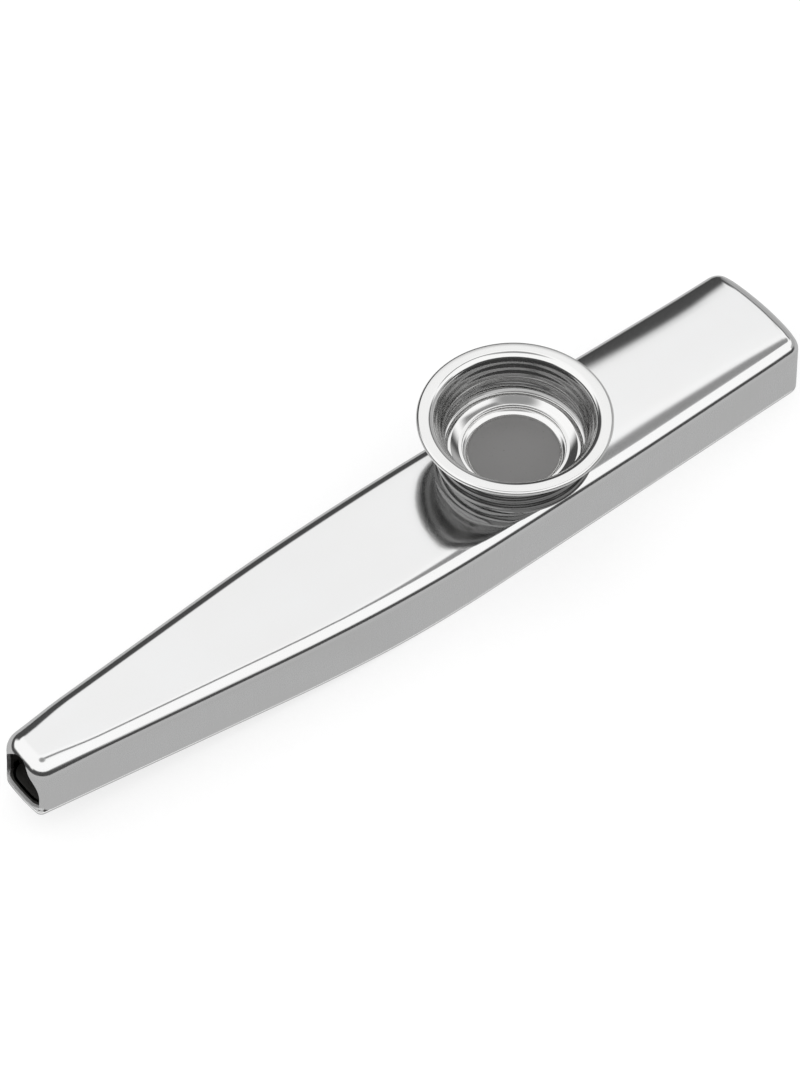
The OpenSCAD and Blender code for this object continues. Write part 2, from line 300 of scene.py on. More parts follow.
@dataclass(frozen=True)
class TurnedFinish:
    """Bright turned metal with fine rings round the turret's axis; rougher where marked, on the rolled walls
    and under the flare, and painted much darker there as painted shade.
    """

    name: str
    axis_x: float
    tone: float = 0.90
    # The low tone of the marked walls is painted shade, not the metal's own colour.
    painted_shade_tone: float = 0.26
    gloss: float = 0.09
    dull_gloss: float = 0.17
    rings_per_m: float = 4200.0
    patches_per_m: float = 120.0
    ring_depth: float = 0.0000008
    gloss_swing: float = 0.05
    tone_swing: float = 0.04
    tint: tuple[float, ...] = (1.0, 0.998, 0.992, 1.0)

    def material(self) -> bpy.types.Material:
        """Makes the turned metal's material from distances to the axis.

        Returns:
            The material.
        """
        made, g = new_material(self.name)
        here = g.add("ShaderNodeTexCoord", output="Object")
        sockets = {"Vector": here, "Location": (-self.axis_x * MM, 0.0, 0.0)}
        x, y, z = g.parts(g.add("ShaderNodeMapping", {"vector_type": "POINT"}, sockets))
        dull_and_shade = g.lay()[1]
        radius = (x * x + y * y) ** 0.5
        rings = g.noise(g.vector(radius * self.rings_per_m, z * self.rings_per_m), 1.0, *GRAINY)
        many = self.patches_per_m
        patches = g.noise(g.vector(x * many, y * many, z * many), 1.0)
        gloss = rings.swing(self.gloss_swing) + patches.swing(self.gloss_swing) + self.gloss
        gloss = gloss + dull_and_shade * (self.dull_gloss - self.gloss)
        shade = rings.swing(self.tone_swing) + patches.swing(self.tone_swing) + self.tone
        # Painted shade: the marked walls and the flare's underside are darkened in colour.
        shade = shade + dull_and_shade * (self.painted_shade_tone - self.tone)
        g.surface(self.tint, shade, gloss, g.bump(rings, self.ring_depth))
        return made


@dataclass(frozen=True)
class FilmFinish:
    """Smooth dark film with a soft sheen and the faint waves of a stretched skin."""

    name: str = "membrane_film_grey"
    tone: float = 0.24
    gloss: float = 0.28
    grains_per_m: float = 2600.0
    waves_per_m: float = 150.0
    grain_tone: float = 0.012
    wave_tone: float = 0.02
    grain_gloss: float = 0.03
    wave_depth: float = 0.00004
    tint: tuple[float, ...] = (1.0, 0.985, 0.975, 1.0)

    def material(self) -> bpy.types.Material:
        """Makes the film's material.

        Returns:
            The material.
        """
        made, g = new_material(self.name)
        here = g.add("ShaderNodeTexCoord", output="Object")
        grain = g.noise(here, self.grains_per_m, *GRAINY)
        waves = g.noise(here, self.waves_per_m, 1.0)
        shade = grain.swing(self.grain_tone) + waves.swing(self.wave_tone) + self.tone
        normal = g.bump(waves, self.wave_depth)
        g.surface(self.tint, shade, grain.swing(self.grain_gloss) + self.gloss, normal, metal=0.0)
        return made


# ------------------------------------------------------------------- the bench


def clear_selection() -> None:
    """Leaves edit mode and deselects everything."""
    if bpy.context.object is not None and bpy.context.object.mode != "OBJECT":
        bpy.ops.object.mode_set(mode="OBJECT")
    bpy.ops.object.select_all(action="DESELECT")


def pick(piece: bpy.types.Object) -> None:
    """Selects one piece alone and makes it active.

    Args:
        piece: the piece to work on.
    """
    clear_selection()
    piece.select_set(True)
    bpy.context.view_layer.objects.active = piece


def face_outwards() -> None:
    """Turns all faces of the piece in edit mode outwards."""
    bpy.ops.mesh.select_all(action="SELECT")
    bpy.ops.mesh.normals_make_consistent(inside=False)


def read(values: Sequence, name: str) -> np.ndarray:
    """Reads a vector of each vertex, face or attribute value.

    Args:
        values: the vertices, faces or attribute values.
        name: the vector's name in them.

    Returns:
        The vectors, a row for each.
    """
    flat = np.zeros(len(values) * 3)
    values.foreach_get(name, flat)
    return flat.reshape(-1, 3)


class Bench:
    """A piece on the bench: a ring of vertices drawn out row by row, in millimetres."""

    def __init__(self, name: str, count: int, place: Place, filled: bool = False) -> None:
        """Starts a closed ring from a circle primitive.

        Args:
            name: the piece's name.
            count: the number of vertices in the ring.
            place: gives each vertex's place and lay.
            filled: closes the ring with a face.
        """
        clear_selection()
        fill = "NGON" if filled else "NOTHING"
        bpy.ops.mesh.primitive_circle_add(vertices=count, radius=1.0, fill_type=fill)
        self.piece = bpy.context.object
        self.piece.name = self.piece.data.name = name
        station = self.piece.data.attributes.new("station", "INT", "POINT")
        station.data.foreach_set("value", np.arange(count, dtype=np.int32))
        self.piece.data.attributes.new("lay", "FLOAT_VECTOR", "POINT")
        bpy.ops.object.mode_set(mode="EDIT")
        bpy.ops.mesh.select_mode(type="VERT")
        bpy.ops.mesh.select_all(action="SELECT")
        self._set(place)

    def _set(self, place: Place) -> None:
        """Puts the selected ring's vertices in their places.

        Args:
            place: gives each vertex's place and lay.
        """
        mesh = bmesh.from_edit_mesh(self.piece.data)
        station = mesh.verts.layers.int["station"]
        lay = mesh.verts.layers.float_vector["lay"]
        for vertex in mesh.verts:
            if vertex.select:
                vertex.co, vertex[lay] = place(vertex[station])
        bmesh.update_edit_mesh(self.piece.data)

    def draw(self, place: Place) -> "Bench":
        """Draws the selected ring out by one row.

        Args:
            place: gives each new vertex's place and lay.

        Returns:
            The bench.
        """
        bpy.ops.mesh.extrude_region_move()
        self._set(place)
        return self

    def close(self, threshold: float) -> "Bench":
        """Merges what meets and turns the faces outwards.

        Args:
            threshold: the distance that counts as meeting.

        Returns:
            The bench.
        """
        bpy.ops.mesh.select_all(action="SELECT")
        bpy.ops.mesh.remove_doubles(threshold=threshold)
        face_outwards()
        return self

    def spin(self, axis_x: float, steps: int) -> "Bench":
        """Turns the ring round the turret's axis into a closed turned part.

        Args:
            axis_x: where the axis stands along the body.
            steps: the number of steps in the turn.

        Returns:
            The bench.
        """
        bpy.ops.mesh.select_all(action="SELECT")
        centre, axis = (axis_x, 0.0, 0.0), (0.0, 0.0, 1.0)
        bpy.ops.mesh.spin(steps=steps, angle=math.tau, center=centre, axis=axis, use_auto_merge=True)
        return self

    def off(self) -> bpy.types.Object:
        """Takes the piece off the bench in object mode."""
        bpy.ops.object.mode_set(mode="OBJECT")
        return self.piece


def thicken(piece: bpy.types.Object, thickness: float) -> None:
    """Gives a surface its sheet thickness on the inner side.

    Args:
        piece: the surface.
        thickness: the sheet's thickness.
    """
    pick(piece)
    wall = piece.modifiers.new("sheet", "SOLIDIFY")
    wall.thickness = thickness
    wall.offset = -1.0
    wall.use_even_offset = True
    bpy.ops.object.modifier_apply(modifier=wall.name)


def combine(piece: bpy.types.Object, other: bpy.types.Object, operation: str) -> None:
    """Cuts one solid from another or joins the two, and clears the second away.

    Args:
        piece: the solid that stays.
        other: the solid that is used up.
        operation: DIFFERENCE or UNION.
    """
    pick(piece)
    work = piece.modifiers.new("work", "BOOLEAN")
    work.operation = operation
    work.solver = "EXACT"
    work.object = other
    bpy.ops.object.modifier_apply(modifier=work.name)
    bpy.data.objects.remove(other)


def depth_inside(places: np.ndarray, outline: np.ndarray) -> np.ndarray:
    """Distances in plan from places to a closed outline.

    Args:
        places: the places.
        outline: the outline's corners.

    Returns:
        The distances.
    """
    depth = np.full(len(places), np.inf)
    for start, end in zip(outline, np.roll(outline, -1, axis=0)):
        way = end - start
        share = np.clip((places - start) @ way / (way @ way), 0.0, 1.0)
        depth = np.minimum(depth, np.linalg.norm(places - start - share[:, None] * way, axis=1))
    return depth


@dataclass(frozen=True)
class Lining:
    """The finishes of a sheet part's cut edges and inner side, which starts a depth inside its outline; the
    inner side's finish is painted shade.
    """

    edge: bpy.types.Material
    inside: bpy.types.Material
    outline: np.ndarray
    depth: float = 0.3
    reach: float = 56.0
    height: float = 7.0

    def lay(self, piece: bpy.types.Object) -> None:
        """Gives them to the faces that look at the body's middle line.

        Args:
            piece: the piece, in millimetres, which has its outer finish.
        """
        piece.data.materials.append(self.edge)
        piece.data.materials.append(self.inside)
        faces = piece.data.polygons
        centre, normal = read(faces, "center"), read(faces, "normal")
        middle = np.zeros_like(centre)
        middle[:, 0] = np.clip(centre[:, 0], -self.reach, self.reach)
        middle[:, 2] = self.height
        inner = ((centre - middle) * normal).sum(axis=1) < 0.0
        deep = depth_inside(centre[:, :2], self.outline) > self.depth
        faces.foreach_set("material_index", (inner * (1 + deep)).astype(np.int32))


def finish_piece(
    piece: bpy.types.Object,
    material: bpy.types.Material,
    node: str,
    body: str,
    lining: Lining | None = None,
) -> None:
    """Args:
        piece: the piece, modelled in millimetres.
        material: its finish.
        node: the CAD node that it stands for.
        body: the body that it rides on.
        lining: the finishes of its cut edges and inner side.
    """
    pick(piece)
    piece.data.materials.clear()
    piece.data.materials.append(material)
    if lining is not None:
        lining.lay(piece)
    piece.scale = (MM, MM, MM)
    bpy.ops.object.transform_apply(location=True, rotation=True, scale=True)
    bpy.ops.object.shade_smooth_by_angle(angle=SMOOTH_ANGLE)
    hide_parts(node)
    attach(piece, body)
    triangles = sum(len(face.vertices) - 2 for face in piece.data.polygons)
    LOG.info("%s stands for %s with %d triangles", piece.name, node, triangles)
    clear_selection()


# --------------------------------------------------------------------- outline


def ray(angle: float) -> np.ndarray:
    """Unit vector at an angle in degrees."""
    return np.array([math.cos(math.radians(angle)), math.sin(math.radians(angle))])


@dataclass(frozen=True)
class Arc:
    """An arc of the plan, by the angles of its outward normal."""

    centre: Spot
    radius: float
    first: float
    last: float

    def angle(self, share: float) -> float:
        """The outward normal's angle in degrees at a share of the way along it."""
        return self.first + (self.last - self.first) * share

    def point(self, share: float, inset: float) -> np.ndarray:
        """A point of the arc in plan, by its share of the way along it and its inset."""
        return np.array(self.centre) + (self.radius - inset) * ray(self.angle(share))


@dataclass(frozen=True)
class Station:
    """A place on the outline: a point of one arc, or a point between two arcs' ends."""

    arc: Arc
    share: float
    after: Arc | None = None
    between: float = 0.0
    side: float = 1.0

    def at(self, inset: float) -> np.ndarray:
        """The station's point in plan.

        Args:
            inset: how far inside the outline.

        Returns:
            The point.
        """
        here = self.arc.point(self.share, inset)
        if self.after is not None:
            here = here + (self.after.point(0.0, inset) - here) * self.between
        return here * np.array([1.0, self.side])

    def way(self) -> np.ndarray:
        """The outward normal in plan."""
        return ray(self.arc.angle(self.share)) * np.array([1.0, self.side])


@dataclass(frozen=True)
class Plan:
    """The body's outline at one level: five arcs a side with straight stretches between them."""

    narrow_end: float
    wide_end: float
    narrow_corner_r: float
    wide_corner_r: float
    widest_x: float = -9.2
    widest_half: float = 9.35
    narrow_slope: float = 0.10444
    wide_slope: float = 0.010760
    side_blend_r: float = 300.0
    narrow_bow_r: float = 26.0
    wide_bow_r: float = 45.0
    arc_steps: tuple[int, ...] = (6, 16, 30, 16, 5)
    straight_steps: tuple[int, ...] = (18, 18)

    def _arcs(self) -> list[Arc]:
        """Works out the five arcs of one side.

        Returns:
            The arcs, from the wide end to the narrow end.
        """
        vertex = np.array([self.widest_x, self.widest_half])
        narrow_a = 90 + math.degrees(math.atan(self.narrow_slope))
        wide_a = 90 - math.degrees(math.atan(self.wide_slope))
        half_turn = (narrow_a - wide_a) / 2
        reach = self.side_blend_r / math.cos(math.radians(half_turn))
        blend_c = vertex - reach * ray(wide_a + half_turn)
        wide_c, narrow_c = (self.wide_end - self.wide_bow_r, 0.0), (self.narrow_end + self.narrow_bow_r, 0.0)
        wide_r, narrow_r = self.wide_corner_r, self.narrow_corner_r
        wide_corner, wide_turn = self._corner(wide_c, self.wide_bow_r, wide_r, wide_a, -1.0)
        narrow_corner, narrow_turn = self._corner(narrow_c, self.narrow_bow_r, narrow_r, narrow_a, 1.0)
        return [
            Arc(wide_c, self.wide_bow_r, 0.0, wide_turn),
            Arc(wide_corner, wide_r, wide_turn, wide_a),
            Arc(tuple(blend_c), self.side_blend_r, wide_a, narrow_a),
            Arc(narrow_corner, narrow_r, narrow_a, narrow_turn),
            Arc(narrow_c, self.narrow_bow_r, narrow_turn, 180.0),
        ]

    def _corner(
        self, centre: Spot, bow_r: float, corner_r: float, normal: float, way: float
    ) -> tuple[Spot, float]:
        """Fits a corner between an end's bow and a side's straight line.

        Args:
            centre: the bow's centre.
            bow_r: the bow's radius.
            corner_r: the corner's radius.
            normal: the side line's normal in degrees.
            way: 1 towards the narrow end, -1 towards the wide end.

        Returns:
            The corner's centre and the normal where it meets the bow.
        """
        from_bow = np.array([self.widest_x, self.widest_half]) - np.array(centre)
        level = float(from_bow @ ray(normal)) - corner_r
        turn = normal + way * math.degrees(math.acos(level / (bow_r - corner_r)))
        return tuple(np.array(centre) + (bow_r - corner_r) * ray(turn)), turn

    def _half(self) -> list[Station]:
        """Spreads the stations along one side.

        Returns:
            The stations, from the middle of the wide end.
        """
        arcs = self._arcs()
        half: list[Station] = []
        for k, (arc, steps) in enumerate(zip(arcs, self.arc_steps)):
            first = 1 if k == 4 else 0
            last = steps if k == 0 else steps + 1
            half += [Station(arc, i / steps) for i in range(first, last)]
            if k in (1, 2):
                count = self.straight_steps[k - 1]
                half += [Station(arc, 1.0, arcs[k + 1], i / count) for i in range(1, count)]
        return half

    def stations(self, near: "Plan | None" = None) -> list[Station]:
        """The stations all round, from the middle of the wide end; another outline can give the -Y side."""
        other = (near or self)._half()[-2:0:-1]
        return self._half() + [Station(s.arc, s.share, s.after, s.between, -1.0) for s in other]


@dataclass
class BodyForm:
    """Sizes of the body that its sheet parts share, in millimetres."""

    body_l: float = 121.8
    body_h: float = 9.6
    wide_lean: float = 0.4
    narrow_lean: float = 0.25
    plate_corner_r: float = 0.8
    edge_r: float = 2.1
    narrow_edge_r: float = 2.7
    narrow_edge_l: float = 8.0
    edge_hold: float = 1.25
    corner_gap: float = 0.1
    sheet_t: float = 0.4
    top_rise: float = 2.8
    base_rise: float = 4.1
    bend_x: float = -5.2
    top_bend_r: float = 400.0
    base_bend_r: float = 270.0
    plate_t: float = 0.4
    seam_gap: float = 0.03
    head: list[Station] = field(default_factory=list)
    foot: list[Station] = field(default_factory=list)
    plate: list[Station] = field(default_factory=list)
    along: list[float] = field(default_factory=list)

    def __post_init__(self) -> None:
        """Lays the stations round the outlines of head, foot and plate."""
        top_r, low_r = self.narrow_edge_r + self.corner_gap, self.edge_r + self.corner_gap
        head = Plan(self.narrow_lean - self.half_l, self.half_l - self.wide_lean, top_r, low_r)
        foot = Plan(-self.half_l, self.half_l, low_r, low_r)
        plate = Plan(-self.half_l, self.half_l, self.plate_corner_r, low_r)
        self.head = head.stations()
        self.foot = foot.stations()
        self.plate = foot.stations(plate)
        middle = len(self.head) // 2
        travel = [0.0]
        for before, here in zip(self.head[:middle], self.head[1 : middle + 1]):
            travel.append(travel[-1] + float(np.linalg.norm(here.at(0.0) - before.at(0.0))))
        self.along = travel + travel[-2:0:-1]

    @property
    def half_l(self) -> float:
        """Half the body's length."""
        return self.body_l / 2

    def edge_at(self, k: int) -> float:
        """Radius of the top edge at a station, larger at the narrow end.

        Args:
            k: the station.

        Returns:
            The radius.
        """
        travel = (self.half_l + float(self.head[k].at(0.0)[0])) / self.narrow_edge_l
        share = min(1.0, max(0.0, self.edge_hold - travel))
        return self.edge_r + (self.narrow_edge_r - self.edge_r) * share * share * (3 - 2 * share)

    def _kick(self, x: float, rise: float, radius: float) -> float:
        """Rise of a face that bends up towards the narrow end.

        Args:
            x: place along the body.
            rise: its rise at the narrow end.
            radius: the radius of the bend.

        Returns:
            The rise at that place.
        """
        slope = math.atan(rise / (self.bend_x + self.half_l))
        from_bend = self.bend_x + radius * math.tan(slope / 2) - x
        if from_bend <= 0:
            return 0.0
        if from_bend < radius * math.sin(slope):
            return radius - math.sqrt(radius * radius - from_bend * from_bend)
        return (self.bend_x - x) * math.tan(slope)

    def base_z(self, x: float) -> float:
        """Height of the base at a place along the body."""
        return self._kick(x, self.base_rise, self.base_bend_r)

    def top_z(self, x: float) -> float:
        """Height of the top at a place along the body."""
        return self.body_h + self._kick(x, self.top_rise, self.top_bend_r)


def prism(name: str, section: Sequence[Spot], start: float, end: float) -> bpy.types.Object:
    """A bar along the body with a given section, used as a cutter.

    Args:
        name: its name.
        section: its points across and up.
        start: where it starts along the body.
        end: where it ends.

    Returns:
        The bar.
    """

    def at(x: float, k: int) -> tuple[Point, Point]:
        """Place and lay of a vertex when the section stands at x."""
        return (x, *section[k]), (0.0, 0.0, 0.0)

    bench = Bench(name, len(section), partial(at, start), filled=True)
    return bench.draw(partial(at, end)).close(FINE_MERGE_MM).off()


def arc_points(centre: Spot, radii: Spot, first: float, last: float, steps: int) -> list[Spot]:
    """Points of an ellipse's arc between two angles in degrees."""
    angles = [math.radians(first + (last - first) * i / steps) for i in range(steps + 1)]
    return [(centre[0] + radii[0] * math.cos(a), centre[1] + radii[1] * math.sin(a)) for a in angles]


def tangent_angle(start: Spot, centre: Spot, r: float) -> float:
    """Angle in degrees of the line that leaves a point and touches the near side of a circle."""
    dx, dz = centre[0] - start[0], centre[1] - start[1]
    return math.degrees(math.atan2(dz, dx) + math.asin(r / math.hypot(dx, dz)))


def straight(start: Spot, centre: Spot, r: float, turn: float, steps: int) -> list[Spot]:
    """Points between a point and a circle's point, without either.

    Args:
        start: the point.
        centre: the circle's centre.
        r: its radius.
        turn: the angle of the circle's point.
        steps: the number of steps.

    Returns:
        The points.
    """
    end = arc_points(centre, (r, r), turn, turn, 1)[0]
    ways = [i / steps for i in range(1, steps)]
    return [(start[0] + (end[0] - start[0]) * w, start[1] + (end[1] - start[1]) * w) for w in ways]


@dataclass
class Mouths:
    """The two openings that the breath passes."""

    form: BodyForm
    narrow_w: float = 6.8
    narrow_arch_h: float = 5.0
    narrow_sill_h: float = 0.8
    narrow_lip: float = 0.95
    wide_w: float = 11.4
    wide_r: float = 2.4
    wide_lip: float = 2.2
    over: float = 1.0
    arch_steps: int = 40
    corner_steps: int = 14

    def narrow(self) -> bpy.types.Object:
        """Makes the cutter of the arched narrow mouth.

        Returns:
            The cutter.
        """
        form, side = self.form, self.narrow_w / 2
        spring = form.top_z(-form.half_l) - self.narrow_lip - self.narrow_arch_h
        floor = form.base_rise + self.narrow_sill_h
        arch = arc_points((0.0, spring), (side, self.narrow_arch_h), 0, 180, self.arch_steps)
        depth = form.narrow_edge_r + form.narrow_lean + form.sheet_t
        section = [(-side, floor), (side, floor)] + arch
        return prism("narrow_cutter", section, -form.half_l - self.over, -form.half_l + depth)

    def wide(self, foot: float) -> bpy.types.Object:
        """Makes the cutter of the wide mouth with its round upper corners.

        Args:
            foot: its floor above the base.

        Returns:
            The cutter.
        """
        form, side, r = self.form, self.wide_w / 2, self.wide_r
        crown = form.body_h - self.wide_lip
        right = arc_points((side - r, crown - r), (r, r), 0, 90, self.corner_steps)
        left = arc_points((r - side, crown - r), (r, r), 90, 180, self.corner_steps)
        depth = form.edge_r + form.wide_lean + form.sheet_t
        section = [(-side, foot), (side, foot)] + right + left
        return prism("wide_cutter", section, form.half_l - depth, form.half_l + self.over)


# ------------------------------------------------------------------ body parts


@dataclass(frozen=True)
class Crown:
    """How the top falls away softly before its edge along one side, given at places along the body."""

    places: tuple[float, ...]
    slopes: tuple[float, ...]
    widths: tuple[float, ...]

    def at(self, x: float) -> tuple[float, float]:
        """Slope at the edge in radians and width of the fall at a place along the body."""
        slope = math.radians(float(np.interp(x, self.places, self.slopes)))
        return slope, float(np.interp(x, self.places, self.widths))


NEAR_CROWN = Crown(
    places=(-24.0, -16.0, -8.0, 0.0, 6.0, 14.0, 32.0, 48.0, 54.0, 57.0, 61.0),
    slopes=(0.0, 16.0, 16.5, 17.0, 17.0, 17.0, 17.0, 17.0, 17.0, 15.0, 14.0),
    widths=(0.01, 0.6, 1.1, 1.9, 2.7, 3.7, 5.2, 3.9, 3.3, 2.6, 2.4),
)
FAR_CROWN = Crown(
    places=(-12.0, 10.0, 30.0, 39.0, 47.0, 53.0, 57.0, 61.0),
    slopes=(0.0, 3.0, 7.0, 10.0, 12.5, 14.0, 14.0, 14.0),
    widths=(2.0, 2.0, 3.0, 3.3, 3.3, 3.1, 2.3, 1.6),
)


@dataclass
class UpperShell:
    """The drawn upper half of the body: walls, rounded edge and top in one sheet."""

    form: BodyForm
    mouths: Mouths
    turret_x: float
    spigot_hole_r: float
    wall_rows: int = 6
    edge_rows: int = 26
    end_share: float = 0.6
    side_facing: float = 0.99
    slope_step: float = 0.01
    hole_steps: int = 96
    top_rows: tuple[float, ...] = (0.985, 0.96, 0.93, 0.89, 0.84, 0.77, 0.68, 0.55, 0.4, 0.2, 0.0)

    def __post_init__(self) -> None:
        """Works out the top edge at each station: its inset, radius, slope and height."""
        head = self.form.head
        side = [s.at(0.0) for s in head if s.side > 0 and s.way()[1] > self.side_facing]
        self.side_x, self.side_y = np.array(side)[::-1].T
        self.edges = [self._edge_of(k) for k in range(len(head))]

    def _fall(self, x: float, y: float) -> float:
        """How far the top lies below its ruling height.

        Args:
            x: place along the body.
            y: place across it.

        Returns:
            The fall.
        """
        slope, width = (NEAR_CROWN if y < 0 else FAR_CROWN).at(x)
        side = float(np.interp(x, self.side_x, self.side_y))
        in_by = side - self.form.edge_r * (1.0 - math.sin(slope)) - abs(y)
        return math.tan(slope) * max(0.0, width - in_by) ** 2 / (2 * width)

    def _edge_of(self, k: int) -> tuple[float, float, float, float]:
        """The top edge at a station.

        Args:
            k: the station.

        Returns:
            Its inset, radius and slope where it meets the top, and its centre's depth below the top.
        """
        station = self.form.head[k]
        x, y = station.at(0.0)
        way = station.way()
        side_slope, _ = (NEAR_CROWN if y < 0 else FAR_CROWN).at(float(x))
        held = self.end_share + (1.0 - self.end_share) * float(way[1]) ** 2
        inset = self.form.edge_at(k) * (1.0 - math.sin(side_slope) * held)
        here, step = station.at(inset), self.slope_step * way
        slope = math.atan((self._fall(*(here + step)) - self._fall(*(here - step))) / (2 * self.slope_step))
        r = inset / (1.0 - math.sin(slope))
        return inset, r, slope, self._fall(*here) + r * math.cos(slope)

    def _wall(self, level: float, k: int) -> tuple[Point, Point]:
        """Place and lay of a vertex of the wall.

        Args:
            level: 0 at the foot, 1 where the edge starts to round.
            k: the station.

        Returns:
            Its place and lay.
        """
        form = self.form
        foot, head = form.foot[k].at(0.0), form.head[k].at(0.0)
        low = form.base_z(foot[0]) + form.plate_t + form.seam_gap
        high = form.top_z(head[0]) - self.edges[k][3]
        x, y = foot + (head - foot) * level
        return (x, y, low + (high - low) * level), (form.along[k], (high - low) * level, 1.0)

    def _edge(self, share: float, k: int) -> tuple[Point, Point]:
        """Place and lay of a vertex of the rounded edge.

        Args:
            share: how far over the edge, from 0 to 1.
            k: the station.

        Returns:
            Its place and lay.
        """
        _, r, slope, depth = self.edges[k]
        turn = share * (math.pi / 2 - slope)
        x, y = self.form.head[k].at(r - r * math.cos(turn))
        z = self.form.top_z(x) - depth + r * math.sin(turn)
        across = self.form.body_h + r * (turn - 1)
        return (x, y, z), (self.form.along[k], across, 1.0 - turn / (math.pi / 2))

    def _top(self, squeeze: float, k: int) -> tuple[Point, Point]:
        """Place and lay of a vertex of the top.

        Args:
            squeeze: share of the width that is left.
            k: the station.

        Returns:
            Its place and lay.
        """
        inset, r, _, _ = self.edges[k]
        x, y = self.form.head[k].at(inset)
        across = self.form.body_h + r * (math.pi / 2 - 1) + (1.0 - squeeze) * abs(y)
        z = self.form.top_z(x) - self._fall(x, y * squeeze)
        return (x, y * squeeze, z), (self.form.along[k], across, 0.0)

    def build(self) -> bpy.types.Object:
        """Draws the shell up from its foot, rounds it over and cuts its openings.

        Returns:
            The shell.
        """
        form = self.form
        bench = Bench("shell_sheet", len(form.head), partial(self._wall, 0.0))
        for row in range(1, self.wall_rows + 1):
            bench.draw(partial(self._wall, row / self.wall_rows))
        for row in range(1, self.edge_rows + 1):
            bench.draw(partial(self._edge, row / self.edge_rows))
        for squeeze in self.top_rows:
            bench.draw(partial(self._top, squeeze))
        shell = bench.close(MERGE_MM).off()
        thicken(shell, form.sheet_t)
        combine(shell, self.mouths.narrow(), "DIFFERENCE")
        combine(shell, self.mouths.wide(-self.mouths.over), "DIFFERENCE")
        clear_selection()
        size = {"vertices": self.hole_steps, "radius": self.spigot_hole_r, "depth": 2 * self.mouths.over}
        bpy.ops.mesh.primitive_cylinder_add(location=(self.turret_x, 0.0, form.body_h), **size)
        combine(shell, bpy.context.object, "DIFFERENCE")
        return shell


@dataclass
class BasePlate:
    """The plate that closes the body from below, with a flange inside the walls."""

    form: BodyForm
    mouths: Mouths
    flange_h: float = 1.6
    flange_t: float = 0.35
    round_r: float = 0.06
    satin: float = 0.6
    rows: tuple[float, ...] = (0.9, 0.7, 0.45, 0.2, 0.0)

    def _row(self, ring: list[Station], inset: float, height: float, squeeze: float = 1.0) -> Place:
        """The rule for a row.

        Args:
            ring: the outline's stations.
            inset: how far inside the outline.
            height: height above the base.
            squeeze: share of the width that is left.

        Returns:
            The rule.
        """

        def place(k: int) -> tuple[Point, Point]:
            """Works out a vertex.

            Args:
                k: the station.

            Returns:
                Its place and lay.
            """
            x, y = ring[k].at(inset)
            lay = (self.form.along[k], height + y - y * squeeze, self.satin)
            return (x, y * squeeze, self.form.base_z(x) + height), lay

        return place

    def build(self) -> bpy.types.Object:
        """Makes the plate and its flange and joins them.

        Returns:
            The plate.
        """
        form = self.form
        r, ring = self.round_r, form.plate
        plate = Bench("base_sheet", len(ring), self._row(ring, r, form.plate_t))
        plate.draw(self._row(ring, 0.0, form.plate_t - r))
        plate.draw(self._row(ring, 0.0, r)).draw(self._row(ring, r, 0.0))
        for squeeze in self.rows:
            plate.draw(self._row(ring, r, 0.0, squeeze))
        bpy.ops.mesh.select_all(action="SELECT")
        bpy.ops.mesh.remove_doubles(threshold=MERGE_MM)
        bpy.ops.mesh.select_all(action="DESELECT")
        bpy.ops.mesh.select_non_manifold(extend=False)
        for squeeze in self.rows:
            plate.draw(self._row(ring, r, form.plate_t, squeeze))
        sheet = plate.close(MERGE_MM).off()
        inset = form.sheet_t + form.seam_gap
        low = self._row(form.head, inset, form.plate_t / 2)
        high = self._row(form.head, inset, form.plate_t + self.flange_h)
        strip = Bench("flange", len(form.head), low).draw(high).close(FINE_MERGE_MM).off()
        thicken(strip, self.flange_t)
        combine(strip, self.mouths.narrow(), "DIFFERENCE")
        combine(strip, self.mouths.wide(0.0), "DIFFERENCE")
        combine(sheet, strip, "UNION")
        return sheet


# ---------------------------------------------------------------- turret parts


class Face(Enum):
    """Which face of a rolled thread a point of a profile lies on."""

    PLAIN = 0
    MATING = 1
    BACK = 2


@dataclass
class Profile:
    """A turned part's closed section: radius and height above the sheet."""

    points: list[tuple[float, float, Face, float]] = field(default_factory=list)

    def to(self, *points: Spot, dull_and_shade: float = 0.0) -> "Profile":
        """Adds plain points by radius and height; the metal there is as rough, and as darkened by painted
        shade, as told, from 0 to 1.
        """
        self.points += [(r, z, Face.PLAIN, dull_and_shade) for r, z in points]
        return self

    def rows(self, start: float, end: float, step: float, face: Face, dull_and_shade: float) -> "Profile":
        """Adds the rows of a threaded face.

        Args:
            start: the first height.
            end: the last height.
            step: the height of a row.
            face: which face of the thread it is.
            dull_and_shade: how rough the metal is there and how much painted shade darkens it, from 0 to 1.

        Returns:
            The profile.
        """
        count = max(2, round(abs(end - start) / step))
        self.points += [(0.0, start + (end - start) * i / count, face, dull_and_shade) for i in range(count + 1)]
        return self


@dataclass
class Thread:
    """The rolled thread that cap and socket share, in millimetres."""

    pitch: float = 1.4
    depth: float = 0.36
    radius: float = 9.42
    gap: float = 0.15
    wall_t: float = 0.35
    fade: float = 0.35
    row_step: float = 0.0875

    def radii(self, angle: np.ndarray, z: np.ndarray, ends: Spot, male: bool) -> np.ndarray:
        """Radius of the mating face.

        Args:
            angle: angles round the axis.
            z: heights above the sheet.
            ends: the thread's lowest and highest point.
            male: true for the cap's thread.

        Returns:
            The radii.
        """
        reach = self.fade * self.pitch
        fade = np.clip(np.minimum((z - ends[0]) / reach, (ends[1] - z) / reach), 0.0, 1.0)
        fade = fade * fade * (3.0 - 2.0 * fade)
        crest = (1.0 + np.cos(math.tau * z / self.pitch - angle)) / 2.0
        if male:
            return self.radius + self.depth * crest * fade
        return self.radius + self.gap + self.depth * (1.0 - (1.0 - crest) * fade)


